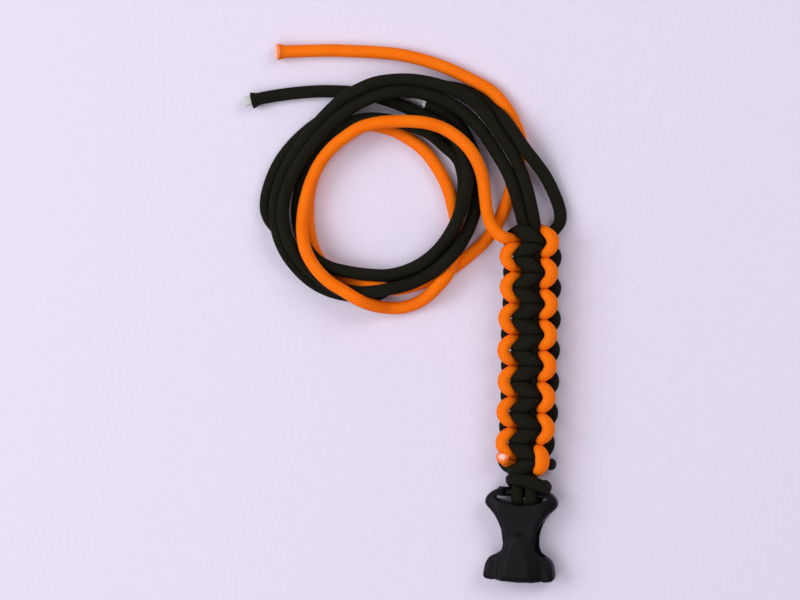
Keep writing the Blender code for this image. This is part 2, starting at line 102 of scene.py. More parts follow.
LEFT_CORE_TAIL_ROUTE = (
    (0.2, 60.4, 5), (-0.6, 63.7, 5.3), (-2.2, 69.7, 5.9), (-4.4, 75.7, 5.9),
    (-7.2, 80.7, 5.6), (-11.1, 86.8, 5.4), (-14.9, 91.8, 5.4), (-19.6, 96.3, 5.4),
    (-25.1, 99.8, 5.4), (-30.7, 102, 5.6), (-35.9, 103, 6.6), (-41, 103.2, 8.4),
    (-46.2, 102.3, 9.4), (-51.7, 100.5, 9.4), (-56.9, 97.8, 9), (-61.9, 94.2, 8.6),
    (-67.1, 89.3, 8.2), (-71.8, 84, 7.6), (-76, 78, 7.2), (-78.9, 72, 7), (-80.4, 65.7, 7.2),
    (-80, 59.7, 8.3), (-78, 53.3, 8), (-75, 48, 6.4), (-70.8, 43.7, 5.9), (-66.4, 40.3, 5.9),
    (-62, 38, 5.9), (-57.5, 37.2, 6), (-53.2, 36.8, 7.6), (-48.7, 37.1, 9.4), (-44.1, 37.8, 10),
    (-39.9, 38.7, 8.6), (-35.9, 40.2, 6.6), (-30.8, 42.8, 6.4), (-25.5, 46.2, 9.4),
    (-21.3, 50.5, 9.4), (-18.5, 55.7, 6.8), (-16.7, 61.3, 4), (-15.5, 67, 2.4), (-15.1, 72.3, 2),
    (-15.4, 77.3, 2), (-16.8, 83, 2), (-19.2, 88.2, 2), (-22.2, 92.8, 2), (-27, 97, 2),
    (-32.5, 99.5, 2),
)
RIGHT_CORE_TAIL_ROUTE = (
    (3.9, 60.6, 5), (3.3, 64, 5.3), (2.0, 70, 5.8), (-0.1, 76.3, 5.9), (-2.7, 82, 5.8),
    (-6.6, 88.3, 5.6), (-10.6, 93.8, 6.1), (-15, 98.8, 5.7), (-20.4, 102.5, 5.6), (-26.5, 105, 5.8),
    (-32.3, 106.5, 5.8), (-38, 107.2, 6.6), (-43.5, 107, 8), (-48.6, 106.1, 9.6), (-53.9, 104, 10),
    (-59.3, 101.2, 9), (-64.4, 97.3, 7.2), (-69.4, 92.5, 6), (-74.7, 86.3, 5.5), (-78.9, 80, 5),
    (-81.9, 73.7, 5.1), (-83.6, 67.3, 5), (-83.5, 61.3, 5.6), (-82.4, 55.7, 5.9), (-79.9, 49.7, 4.8),
    (-76.2, 44.5, 3.2), (-71.6, 40.3, 2.2), (-66.9, 37.8, 2), (-62.8, 36.5, 2), (-58.7, 35.8, 2),
    (-54.6, 35.6, 2), (-51.2, 35.7, 2), (-48.5, 36.4, 2), (-45.8, 38.3, 2), (-43, 40, 2),
    (-40.3, 41.8, 2), (-37.2, 43.6, 2), (-33.5, 45.5, 2), (-29.6, 48.8, 2.2), (-25.7, 53, 4.4),
    (-22.8, 57.3, 5.9), (-21.1, 62, 5.9), (-20.3, 66.7, 3.8), (-20.1, 71.3, 2.2), (-20.4, 76, 2),
    (-22.2, 81.2, 2), (-26.5, 85.3, 2.2), (-31.2, 89.5, 4.6), (-37.1, 92, 5.6), (-43.3, 93.7, 5.6),
    (-49.4, 94.5, 5.6), (-55.5, 94, 5.6), (-61.1, 91.5, 5.2), (-65.8, 87.2, 4.6), (-70.4, 82, 3),
    (-74, 76, 2), (-76.1, 70, 2), (-76.8, 64, 2), (-76, 58, 2.6), (-73.4, 52.3, 4.8),
    (-69.6, 48, 5.9), (-64.7, 45.2, 5.9), (-58.6, 43.7, 5.9), (-52.4, 42.8, 5.9),
    (-45.6, 42.5, 5.9), (-39.5, 43.7, 5.9), (-33.7, 46.3, 6), (-28.8, 49.8, 7.2), (-23.9, 55, 9.8),
    (-20.9, 60.3, 10), (-19.2, 65.7, 8.4), (-18.2, 71, 6.4), (-18, 76, 5.9), (-19.3, 82, 5.6),
    (-22.3, 87.2, 4.4), (-26.9, 91.5, 2.6), (-32.1, 94.9, 2), (-37.2, 97.3, 2), (-42, 99.4, 2),
    (-47.1, 101.2, 2), (-52.6, 102.7, 2), (-58, 103.6, 2), (-63.5, 104, 2), (-69.3, 104.1, 2),
    (-75.7, 103.8, 2), (-82.6, 103.1, 2), (-87.8, 102.3, 2.3), (-92.3, 101.3, 2.6),
)
BLACK_TAIL_ROUTE = (
    (11.9, 59.4, 2.4), (12.3, 61.6, 2.2), (11.9, 64.4, 2), (10.3, 69, 2.2),
    (7.4, 75, 3), (4.2, 79.8, 4.8), (0.7, 84.5, 5.9), (-2.8, 89.7, 5.9), (-6.7, 94.4, 4.7),
    (-11.4, 98.1, 2.4), (-15.8, 101.5, 2), (-21.2, 104, 2), (-27, 105, 2), (-33.1, 105.2, 2),
    (-39.1, 105, 2.6), (-44.5, 104.7, 4.6), (-50, 103.5, 6), (-55.8, 101.5, 5.8),
    (-61.4, 98.8, 3.8), (-66.9, 95.3, 2.4), (-72.8, 91.4, 2), (-78.2, 86.6, 2), (-82.7, 81, 2),
    (-85.9, 74.5, 2), (-87.6, 68.4, 2), (-87.6, 64.2, 2), (-86.3, 61.0, 2), (-83.9, 58.2, 2),
)

# The cow hitch, in the strap's frame: down the left strand, round the bar, across the front band,
# round the bar again and up the right strand
HITCH_ROUTE = (
    (-1.8, 8.4, 5.0), (-1.9, 5.4, 5.6), (-2.1, 2.8, 7.2), (-2.3, 0.3, 8.15), (-2.4, -2.0, 7.4),
    (-2.6, -3.3, 5.0), (-3.2, -2.4, 2.8), (-3.9, -0.2, 1.8), (-4.3, 2.0, 2.5), (-4.5, 3.4, 4.6),
    (-4.5, 4.4, 7.0), (-3.9, 4.6, 9.1), (-2.3, 4.6, 10.3), (0.2, 4.3, 10.6), (2.6, 3.8, 10.5),
    (5.0, 2.9, 9.8), (6.8, 1.8, 8.4), (7.1, 1.5, 6.5), (6.9, 1.8, 4.5), (6.2, 2.1, 2.7),
    (5.2, 1.0, 1.8), (4.2, -0.8, 1.9), (3.2, -2.6, 3.0), (2.6, -3.3, 5.0), (2.5, -2.0, 7.4),
    (2.4, 0.3, 8.15), (2.1, 2.8, 7.2), (1.9, 5.4, 5.6), (1.8, 8.4, 5.0),
)

# Right halves of the buckle's outline, of the slot for the cord and of the raised arch
BUCKLE_OUTLINE = (
    (0.0, -27.3), (4.0, -27.3), (6.6, -27.6), (8.9, -28.4), (10.8, -29.8), (11.9, -31.6),
    (11.9, -33.0), (11.0, -34.2),
    (9.4, -35.7), (7.7, -37.9), (6.5, -40.7), (5.95, -43.4), (5.95, -46.2), (6.6, -48.4),
    (8.2, -49.6), (9.8, -50.5), (11.0, -52.4), (11.6, -55.2), (11.7, -57.0), (11.1, -57.7),
    (6.0, -58.2), (0.0, -58.6),
)
SLOT_OUTLINE = (
    (0.0, -25.4), (5.2, -25.4), (5.6, -28.4), (5.9, -30.2), (7.6, -30.0), (8.6, -30.4), (8.75, -31.0),
    (7.2, -31.6), (4.0, -32.6), (0.0, -33.1),
)
HUMP_OUTLINE = (
    (0.0, -41.8), (1.6, -42.4), (2.9, -44.2), (4.1, -47.3), (5.0, -50.6), (5.4, -54.5), (5.6, -58.25),
)
BUCKLE_LEAN = math.radians(-2.3)
BUCKLE_THICKNESS = 9.0
BACK_ROUNDING, FACE_ROUNDING = 1.6, 1.8
BAR_RADIUS, BAR_HALF_LENGTH = 1.6, 7.8
MOUTH_HALF_WIDTH, MOUTH_LOW, MOUTH_HIGH, MOUTH_ROUNDING = 8.4, 3.0, 6.0, 0.9
MOUTH_START, MOUTH_LENGTH = -62.4, 24.0
VOXEL = 0.2


# ---------------------------------------------------------------- geometry

def smooth_route(route, spacing):
    """Points a set distance apart on a centripetal Catmull-Rom curve through a route."""
    knots = [np.array(point, float) for point in route]
    knots = [2 * knots[0] - knots[1], *knots, 2 * knots[-1] - knots[-2]]
    fine = []
    for index in range(1, len(knots) - 2):
        p0, p1, p2, p3 = knots[index - 1:index + 3]
        t1 = np.linalg.norm(p1 - p0) ** 0.5
        t2 = t1 + np.linalg.norm(p2 - p1) ** 0.5
        t3 = t2 + np.linalg.norm(p3 - p2) ** 0.5
        for t in np.linspace(t1, t2, 24, endpoint=False):
            a1 = p0 + (p1 - p0) * t / t1
            a2 = p1 + (p2 - p1) * (t - t1) / (t2 - t1)
            a3 = p2 + (p3 - p2) * (t - t2) / (t3 - t2)
            b1 = a1 + (a2 - a1) * t / t2
            b2 = a2 + (a3 - a2) * (t - t1) / (t3 - t1)
            fine.append(b1 + (b2 - b1) * (t - t1) / (t2 - t1))
    fine.append(knots[-2])
    return resample(np.array(fine), spacing)


def arc_lengths(points):
    return np.concatenate([[0.0], np.cumsum(np.linalg.norm(np.diff(points, axis=0), axis=1))])


def resample(points, spacing):
    travelled = arc_lengths(points)
    count = max(2, round(travelled[-1] / spacing))
    wanted = np.linspace(0, travelled[-1], count + 1)
    return np.stack([np.interp(wanted, travelled, points[:, i]) for i in range(3)], 1)


def to_world(points):
    """Points of the strap's frame in the object's frame."""
    points = np.atleast_2d(np.array(points, float))
    c, s = math.cos(-STRAP_LEAN), math.sin(-STRAP_LEAN)
    turn = np.array([[c, -s, 0], [s, c, 0], [0, 0, 1]])
    return points @ turn.T + np.array([STRAP_X, BAR_Y, 0])


def to_strap(points):
    """Points of the object's frame in the strap's frame."""
    shifted = points - to_world([[0, 0, 0]])[0]
    c, s = math.cos(STRAP_LEAN), math.sin(STRAP_LEAN)
    return np.stack(
        [c * shifted[:, 0] - s * shifted[:, 1], s * shifted[:, 0] + c * shifted[:, 1], points[:, 2]], 1)


def unit(v):
    return v / np.maximum(np.linalg.norm(v, axis=-1, keepdims=True), 1e-12)


def blurred(values, passes):
    """Values smoothed along their first axis, ends kept."""
    for _ in range(passes):
        padded = np.concatenate([values[:1], values, values[-1:]])
        values = (padded[:-2] + 2 * padded[1:-1] + padded[2:]) / 4
    return values


class Cord:
    """A swept cord: its centres, a cross-section frame and a reach in each direction.

    The first `woven` rings lie in the weave; `turns` says where in it each of them is.
    """

    def __init__(self, centres, hints, widths, depths, sides=24):
        self.woven, self.turns = 0, None
        self.centres = centres
        self.arc = arc_lengths(centres)
        self.tangents = unit(np.gradient(centres, axis=0))
        self.normals = self.frame(hints)
        self.across = np.cross(self.tangents, self.normals)
        turn = np.arange(sides) * 2 * math.pi / sides
        cos, sin = np.cos(turn), np.sin(turn)
        self.directions = (
            cos[None, :, None] * self.normals[:, None] + sin[None, :, None] * self.across[:, None]
        )
        self.base = 1 / np.sqrt((cos / depths[:, None]) ** 2 + (sin / widths[:, None]) ** 2)
        self.reach = self.base.copy()

    def frame(self, hints):
        """Cross-section directions: from the hints where there are any, and carried on from there."""
        normals = np.zeros_like(self.centres)
        hinted = 0
        if hints is not None:
            hinted = int(np.any(hints != 0, axis=1).sum())
            given, tangents = hints[:hinted], self.tangents[:hinted]
            given = given - (given * tangents).sum(1, keepdims=True) * tangents
            given = blurred(given, 6)
            given -= (given * tangents).sum(1, keepdims=True) * tangents
            normals[:hinted] = unit(given)
        before = normals[hinted - 1] if hinted else np.array([0.0, 0.0, 1.0])
        for index in range(hinted, len(normals)):
            tangent = self.tangents[index]
            before = unit(before - before.dot(tangent) * tangent)
            normals[index] = before
        return normals


def press_together(cords, extra):
    """Where two cords meet, each stops half way to the other's middle, and swells where it is free."""
    samples, owners, arcs = [], [], []
    for number, cord in enumerate(cords):
        samples.append(cord.centres)
        owners.append(np.full(len(cord.centres), number))
        arcs.append(cord.arc)
    samples.append(extra)
    owners.append(np.full(len(extra), -1))
    arcs.append(np.zeros(len(extra)))
    samples, owners, arcs = np.concatenate(samples), np.concatenate(owners), np.concatenate(arcs)
    tree = kdtree.KDTree(len(samples))
    for index, point in enumerate(samples):
        tree.insert(point, index)
    tree.balance()
    for number, cord in enumerate(cords):
        limit = np.full(cord.base.shape, 1e9)
        for ring, centre in enumerate(cord.centres):
            near = np.array([found[1] for found in tree.find_range(Vector(centre), 6.4)])
            keep = (owners[near] != number) | (np.abs(arcs[near] - cord.arc[ring]) > 8.0)
            near = near[keep]
            if len(near):
                offset = samples[near] - centre
                facing = cord.directions[ring] @ offset.T
                square = (offset ** 2).sum(1)
                room = np.where(facing > 0.05, square / (2 * np.maximum(facing, 0.05)), 1e9)
                limit[ring] = room.min(1)
        down = -cord.directions[:, :, 2]
        floor = np.where(down > 0.05, cord.centres[:, 2:3] / np.maximum(down, 0.05), 1e9)
        limit = np.maximum(np.minimum(limit, floor) - 0.03, 0.45)
        area = (cord.base ** 2).mean(1)
        reach = np.minimum(cord.base, limit)
        for _ in range(3):
            swell = np.clip(np.sqrt(area / (reach ** 2).mean(1)), 1.0, 1.16)
            swell = blurred(swell[:, None], 5)
            reach = np.minimum(cord.base * swell, limit)
        for _ in range(3):
            reach = (np.roll(reach, 1, 1) + 2 * reach + np.roll(reach, -1, 1)) / 4
            reach = blurred(reach, 1)
            reach = np.minimum(reach, limit + 0.05)
        cord.reach = reach


def cord_mesh(name, cord, material, first=0, last=None):
    """The mesh of a stretch of a cord, with its braid's coordinates, closed at both ends."""
    last = len(cord.centres) - 1 if last is None else last
    centres = cord.centres[first:last + 1]
    surface = centres[:, None] + cord.directions[first:last + 1] * cord.reach[first:last + 1, :, None]
    rings, sides = surface.shape[:2]
    vertices = surface.reshape(-1, 3)
    ends = np.array([centres[0], centres[-1]])
    vertices = np.concatenate([vertices, ends]) * MM
    faces, coordinates = [], []
    along = cord.arc[first:last + 1] / GIRTH
    for ring in range(rings - 1):
        for side in range(sides):
            following = (side + 1) % sides
            faces.append((
                ring * sides + side, ring * sides + following,
                (ring + 1) * sides + following, (ring + 1) * sides + side,
            ))
            u0, u1 = side / sides, (side + 1) / sides
            v0, v1 = along[ring], along[ring + 1]
            coordinates += [(u0, v0), (u1, v0), (u1, v1), (u0, v1)]
    top = (rings - 1) * sides
    for side in range(sides):
        following = (side + 1) % sides
        u0, u1 = side / sides, (side + 1) / sides
        faces.append((following, side, rings * sides))
        coordinates += [(u1, along[0]), (u0, along[0]), (u0, along[0])]
        faces.append((top + side, top + following, rings * sides + 1))
        coordinates += [(u0, along[-1]), (u1, along[-1]), (u0, along[-1])]
    return mesh_object(name, vertices, faces, material, coordinates)


def mesh_object(name, vertices, faces, material, coordinates=None):
    mesh = bpy.data.meshes.new(name)
    mesh.from_pydata([tuple(v) for v in vertices], [], faces)
    if coordinates is not None:
        layer = mesh.uv_layers.new(name="UVMap")
        layer.data.foreach_set("uv", np.array(coordinates, np.float32).ravel())
    mesh.polygons.foreach_set("use_smooth", [True] * len(mesh.polygons))
    mesh.update()
    mesh.set_sharp_from_angle(angle=math.radians(75))
    made = bpy.data.objects.new(name, mesh)
    bpy.context.scene.collection.objects.link(made)
    made.data.materials.append(material)
    return made


# ---------------------------------------------------------------- materials

def new_material(name, colour, roughness):
    made = bpy.data.materials.new(name)
    made.use_nodes = True
    shader = made.node_tree.nodes["Principled BSDF"]
    shader.inputs["Base Color"].default_value = (*colour, 1)
    shader.inputs["Roughness"].default_value = roughness
    made.diffuse_color = (*colour, 1)
    return made, made.node_tree, shader


def math_node(tree, operation, a, b=None, c=None):
    node = tree.nodes.new("ShaderNodeMath")
    node.operation = operation
    for socket, value in zip(node.inputs, (a, b, c)):
        if value is None:
            continue
        if isinstance(value, (int, float)):
            socket.default_value = value
        else:
            tree.links.new(value, socket)
    return node.outputs[0]


def noise_node(tree, place, scale, detail):
    node = tree.nodes.new("ShaderNodeTexNoise")
    node.inputs["Scale"].default_value = scale
    node.inputs["Detail"].default_value = detail
    tree.links.new(place, node.inputs["Vector"])
    return node.outputs["Fac"]


def mix_colours(tree, shader, factor, first, second):
    """Set a shader's colour to a mix of two colours."""
    mix = tree.nodes.new("ShaderNodeMix")
    mix.data_type = "RGBA"
    mix.clamp_factor = True
    tree.links.new(factor, mix.inputs[0])
    mix.inputs[6].default_value = (*first, 1)
    mix.inputs[7].default_value = (*second, 1)
    tree.links.new(mix.outputs[2], shader.inputs["Base Color"])


def add_bump(tree, shader, height, strength, distance):
    bump = tree.nodes.new("ShaderNodeBump")
    bump.inputs["Strength"].default_value = strength
    bump.inputs["Distance"].default_value = distance
    tree.links.new(height, bump.inputs["Height"])
    tree.links.new(bump.outputs[0], shader.inputs["Normal"])


def half_wave(tree, value):
    """A ridge over each whole number that a value passes."""
    return math_node(tree, "SINE", math_node(tree, "MULTIPLY", math_node(tree, "FRACT", value), math.pi))


def braid_material(name, colour, groove_shade_colour, roughness, sheen, sheen_colour, relief=1.0):
    """A braided nylon sheath: diagonal strands that pass over and under each other, coloured darker in the
    grooves between them as painted shade.
    """
    made, tree, shader = new_material(name, colour, roughness)
    shader.inputs["Sheen Weight"].default_value = sheen
    shader.inputs["Sheen Roughness"].default_value = 0.45
    shader.inputs["Sheen Tint"].default_value = (*sheen_colour, 1)
    shader.inputs["Specular IOR Level"].default_value = 0.06
    uv = tree.nodes.new("ShaderNodeUVMap")
    uv.uv_map = "UVMap"
    split = tree.nodes.new("ShaderNodeSeparateXYZ")
    tree.links.new(uv.outputs[0], split.inputs[0])
    around = math_node(tree, "MULTIPLY", split.outputs[0], STRANDS_ROUND)
    along = math_node(tree, "MULTIPLY", split.outputs[1], STRANDS_PER_GIRTH)
    a = math_node(tree, "ADD", around, along)
    b = math_node(tree, "SUBTRACT", around, along)
    ridge_a, ridge_b = half_wave(tree, a), half_wave(tree, b)
    cells = math_node(tree, "ADD", math_node(tree, "FLOOR", a), math_node(tree, "FLOOR", b))
    over = math_node(tree, "FLOORED_MODULO", cells, 2.0)
    over = math_node(tree, "GREATER_THAN", over, 0.5)
    top_a = math_node(tree, "MULTIPLY", ridge_a, math_node(tree, "MULTIPLY_ADD", ridge_b, 0.4, 0.6))
    top_b = math_node(tree, "MULTIPLY", ridge_b, math_node(tree, "MULTIPLY_ADD", ridge_a, 0.4, 0.6))
    mix = tree.nodes.new("ShaderNodeMix")
    mix.data_type = "FLOAT"
    tree.links.new(over, mix.inputs[0])
    tree.links.new(top_a, mix.inputs[2])
    tree.links.new(top_b, mix.inputs[3])
    height = mix.outputs[0]
    yarns = noise_node(tree, uv.outputs[0], 38.0, 3.0)
    patches = noise_node(tree, uv.outputs[0], 1.7, 2.0)
    tone_and_groove_shade = math_node(tree, "MULTIPLY_ADD", yarns, 0.5, -0.25)
    tone_and_groove_shade = math_node(tree, "MULTIPLY_ADD", patches, 0.35, tone_and_groove_shade)
    # painted shade: on top of the yarns' random tone, the colour runs from the groove shade colour in the
    # grooves to the cord's colour on the strands' crests
    crest = math_node(tree, "POWER", height, 1.6)
    tone_and_groove_shade = math_node(tree, "ADD", math_node(tree, "MULTIPLY", crest, 0.9), tone_and_groove_shade)
    mix_colours(tree, shader, tone_and_groove_shade, groove_shade_colour, colour)
    add_bump(tree, shader, height, 0.55 * relief, 0.00022)
    return made


def plastic_material():
    """Moulded acetal: satin, with a very fine spark-eroded grain."""
    made, tree, shader = new_material("black_acetal_moulded", (0.0018, 0.0018, 0.0028), 0.46)
    shader.inputs["Specular IOR Level"].default_value = 0.14
    place = tree.nodes.new("ShaderNodeTexCoord")
    grain = noise_node(tree, place.outputs["Object"], 2600.0, 2.0)
    wear = noise_node(tree, place.outputs["Object"], 180.0, 5.0)
    rough = tree.nodes.new("ShaderNodeMapRange")
    rough.inputs["To Min"].default_value = 0.42
    rough.inputs["To Max"].default_value = 0.54
    tree.links.new(wear, rough.inputs["Value"])
    tree.links.new(rough.outputs[0], shader.inputs["Roughness"])
    add_bump(tree, shader, grain, 0.12, 0.00004)
    return made


def melted_material(name, centre, face_colour, rim_colour, size):
    """Melted and set nylon: pale where the inner yarns fused, cord-coloured at the rim."""
    made, tree, shader = new_material(name, rim_colour, 0.32)
    shader.inputs["Subsurface Weight"].default_value = 0.15
    shader.inputs["Subsurface Radius"].default_value = (0.0012, 0.0006, 0.0004)
    place = tree.nodes.new("ShaderNodeTexCoord")
    distance = tree.nodes.new("ShaderNodeVectorMath")
    distance.operation = "DISTANCE"
    tree.links.new(place.outputs["Object"], distance.inputs[0])
    distance.inputs[1].default_value = centre
    lumps = noise_node(tree, place.outputs["Object"], 1100.0, 3.0)
    far = math_node(tree, "MULTIPLY", distance.outputs["Value"], 1 / size)
    far = math_node(tree, "ADD", far, math_node(tree, "MULTIPLY_ADD", lumps, 0.7, -0.35))
    ramp = tree.nodes.new("ShaderNodeMapRange")
    ramp.inputs["From Min"].default_value = 0.55
    ramp.inputs["From Max"].default_value = 1.05
    tree.links.new(far, ramp.inputs["Value"])
    mix_colours(tree, shader, ramp.outputs[0], face_colour, rim_colour)
    add_bump(tree, shader, lumps, 0.3, 0.0002)
    return made


def yarn_material():
    """White twisted nylon yarn, coloured darker in the grooves of its twist as painted shade."""
    made, tree, shader = new_material("white_inner_yarn", (0.86, 0.86, 0.8), 0.75)
    shader.inputs["Sheen Weight"].default_value = 0.3
    uv = tree.nodes.new("ShaderNodeUVMap")
    uv.uv_map = "UVMap"
    wave = tree.nodes.new("ShaderNodeTexWave")
    wave.inputs["Scale"].default_value = 5.0
    wave.inputs["Distortion"].default_value = 1.5
    wave.bands_direction = "DIAGONAL"
    tree.links.new(uv.outputs[0], wave.inputs["Vector"])
    # painted shade: the bands that make the bump are darker grey-green where the twist sinks in
    mix_colours(tree, shader, wave.outputs["Fac"], (0.62, 0.66, 0.6), (0.9, 0.9, 0.86))
    add_bump(tree, shader, wave.outputs["Fac"], 0.4, 0.0001)
    return made


# each braid's second colour is painted shade for the grooves between its strands
black_braid = braid_material(
    "black_braid", (0.018, 0.0175, 0.0097), (0.0, 0.0, 0.0), 0.72, 0.01, (0.5, 0.5, 0.42))
orange_braid = braid_material(
    "orange_braid", (1.0, 0.27, 0.005), (0.95, 0.07, 0.0), 0.62, 0.1, (1.0, 0.45, 0.12), 0.7)
acetal = plastic_material()
white_yarn = yarn_material()


# ---------------------------------------------------------------- camera

camera_data = bpy.data.cameras.new("camera")
camera_data.lens = 135.0
camera_data.sensor_width = 36.0
camera = bpy.data.objects.new("camera", camera_data)
bpy.context.scene.collection.objects.link(camera)
view_direction = Vector((math.sin(VIEW_LEAN), 0, math.cos(VIEW_LEAN)))
camera.location = Vector(VIEW_CENTRE) + VIEW_DISTANCE * view_direction
camera.rotation_euler = (0, VIEW_LEAN, 0)
bpy.context.scene.camera = camera


# ---------------------------------------------------------------- cords

def weave_points(turns, side):
    """Where a working cord is after so many half knots; side is 1 for black and -1 for orange."""
    turns = np.asarray(turns, float)
    angle = 2 * math.pi * turns
    depth = np.tanh(WEAVE_SQUARENESS * np.cos(angle)) / math.tanh(WEAVE_SQUARENESS)
    swing = WEAVE_HALF_WIDTH * (np.sin(math.pi * turns) - 0.119 * np.sin(3 * math.pi * turns))
    # the lowest bumps are pulled in
    tuck, tuck_turn, tuck_length = (0.3, 1.5, 0.4) if side < 0 else (0.15, 2.5, 0.45)
    swing = swing * (1 - tuck * np.exp(-((turns - tuck_turn) / tuck_length) ** 2))
    wobble = 0.12 * np.sin(2.3 * turns + 1.7 * side) + 0.1 * np.sin(5.1 * turns)
    x = side * swing + wobble
    y = WEAVE_START + HALF_KNOT * (turns - WEAVE_SLANT * np.sin(angle)) + 0.12 * np.sin(3.7 * turns + side)
    # the last half knot is drawn down
    y -= 0.7 * np.clip(turns - 15, 0, 1.2) ** 2
    if side > 0:
        x = x - 0.35 * np.clip(depth, 0, 1)
    z = STRAP_MIDDLE_Z + side * WEAVE_HALF_DEPTH * depth
    return np.stack([x, y, z], 1)


def weave_hints(points):
    """Outwards from the strap's middle, as the flat side of a pressed cord faces."""
    return np.stack([points[:, 0] / 56, np.zeros(len(points)), (points[:, 2] - STRAP_MIDDLE_Z) / 11], 1)


def weave_sizes(turns):
    """Half width and half depth: wide and flat in a bar, rounder in a bump, narrow on the way through."""
    swing = np.cos(2 * math.pi * turns)
    bar = np.clip(swing, 0, 1) ** 0.6
    bump = np.clip(-swing, 0, 1) ** 0.7
    low = 0.5 * np.exp(-((turns - 1.5) / 0.25) ** 2)
    return 1.3 + 1.32 * bar + (0.85 + low) * bump, 1.85 + 0.25 * bar


def working_cord(side, start, end, before, after, route, flare=0.0):
    """A working cord, from its start end through the weave and along its tail, which may end flared."""
    turns = np.linspace(start, end, int((end - start) * STEPS_PER_HALF_KNOT))
    woven = to_world(weave_points(turns, side))
    lead_in = smooth_route([*to_world(before), *woven[0:24:6]], 0.4)
    cut = np.argmin(np.linalg.norm(lead_in - woven[0], axis=1))
    woven = np.concatenate([lead_in[:cut], woven])
    turns = np.concatenate([np.full(cut, start), turns])
    tail = smooth_route([*woven[-19:-1:6], woven[-1], *after, *route], RING_SPACING)
    cut = np.argmin(np.linalg.norm(tail - woven[-1], axis=1))
    whole = np.concatenate([woven, tail[cut + 1:]])
    keep = np.concatenate([[True], np.linalg.norm(np.diff(whole, axis=0), axis=1) > 0.02])
    whole = whole[keep]
    turns = turns[keep[:len(woven)]]
    count = len(turns)
    hints = unit(weave_hints(to_strap(whole)))
    hints[count:] = 0
    widths, depths = np.full(len(whole), CORD_RADIUS), np.full(len(whole), CORD_RADIUS)
    widths[:count], depths[:count] = weave_sizes(turns)
    fade = np.clip((np.arange(len(whole)) - count) / 14, 0, 1)
    widths = np.where(fade > 0, (1 - fade) * widths[count - 1] + fade * CORD_RADIUS, widths)
    depths = np.where(fade > 0, (1 - fade) * depths[count - 1] + fade * CORD_RADIUS, depths)
    arc = arc_lengths(whole)
    grow = flare * np.clip(1 - (arc[-1] - arc) / 3.2, 0, 1) ** 2
    cord = Cord(whole, hints, widths + grow, depths + grow)
    cord.woven, cord.turns = count, turns
    return cord


orange = working_cord(
    -1, ORANGE_START, ORANGE_END, ((-7.3, 11.7, 8.3), (-6.9, 10.9, 6.4), (-6.0, 10.0, 4.4)),
    ((-5.3, 54.8, 9.0), (-7.5, 56.3, 8.8)), ORANGE_TAIL_ROUTE, flare=0.85)
black = working_cord(
    1, BLACK_START, BLACK_END, ((8.1, 9.4, 3.3), (6.4, 9.2, 3.9)), ((9.7, 56.2, 3.2),), BLACK_TAIL_ROUTE)

split_low = WEAVE_START + HALF_KNOT * SPLITS[0]
split_high = WEAVE_START + HALF_KNOT * SPLITS[1]


def core_hitch():
    """The middle of the core cord: down the left strand, round the bar and up the right strand."""
    levels = (split_low, split_low - 9, 20, 13)
    left = [(-CORE_X, level, STRAP_MIDDLE_Z) for level in levels]
    right = [(CORE_X, level, STRAP_MIDDLE_Z) for level in reversed(levels)]
    points = smooth_route([*left, *HITCH_ROUTE, *right], 0.45)
    x, y, z = points.T
    sideways = np.stack([np.sign(x), 0 * x, 0 * x], 1)
    round_bar_hints = unit(np.stack([x * 0.65, y - 0.5, z - STRAP_MIDDLE_Z], 1))
    hints = np.where((y > 7)[:, None], sideways, round_bar_hints)
    flat = np.clip((6.0 - y) / 3.0, 0, 1)
    band = np.clip((z - 8.6) / 1.4, 0, 1) * (y > 0)
    return Cord(to_world(points), unit(hints), 1.85 + 0.25 * flat + 0.15 * band, 1.75 - 0.2 * flat)


def core_strand(x, route):
    """One half of the core cord, from where the hitch's piece ends to the tail's cut end."""
    levels = (split_low, (split_low + CORE_TOP) / 2, CORE_TOP)
    straight = to_world([(x, level, STRAP_MIDDLE_Z) for level in levels])
    centres = smooth_route([*straight, *route], RING_SPACING)
    round_section = np.full(len(centres), CORD_RADIUS)
    return Cord(centres, None, round_section, round_section)


hitch = core_hitch()
core_left = core_strand(-CORE_X, LEFT_CORE_TAIL_ROUTE)
core_right = core_strand(CORE_X, RIGHT_CORE_TAIL_ROUTE)
# loose cords lie a little flattened
for cord in (orange, black, core_left, core_right):
    upright = cord.directions[:, :, 2] ** 2
    lying = 1 / np.sqrt((1 - upright) / LYING_HALF_WIDTH ** 2 + upright / CORD_RADIUS ** 2)
    loose = np.clip((np.arange(len(cord.base)) - cord.woven - 8) / 10, 0, 1)[:, None]
    cord.base += loose * (lying - CORD_RADIUS)
# the right core tail's cut end is splayed
core_right.base += (0.85 * np.clip(1 - (core_right.arc[-1] - core_right.arc) / 2.6, 0, 1) ** 2)[:, None]
bar_line = np.stack([np.linspace(-8.6, 8.6, 40), np.full(40, BAR_Y), np.full(40, STRAP_MIDDLE_Z)], 1)
press_together([orange, black, hitch, core_left, core_right], bar_line)


def ring_near(cord, local_y):
    """The ring where a core strand passes a height on the strap."""
    target = to_world([[0, local_y, 0]])[0]
    up = unit(to_world([[0, 1, 0]])[0] - to_world([[0, 0, 0]])[0])
    heights = (cord.centres[:200] - target) @ up
    return int(np.argmin(np.abs(heights)))


def turn_ring(cord, turn):
    """The ring where a working cord is after so many half knots."""
    lead = int((cord.turns == cord.turns[0]).sum()) - 1
    return int(lead + np.argmin(np.abs(cord.turns[lead:] - turn)))


def across_bend(piece):
    """Bake a piece's placement into its mesh."""
    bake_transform(piece)
    return piece


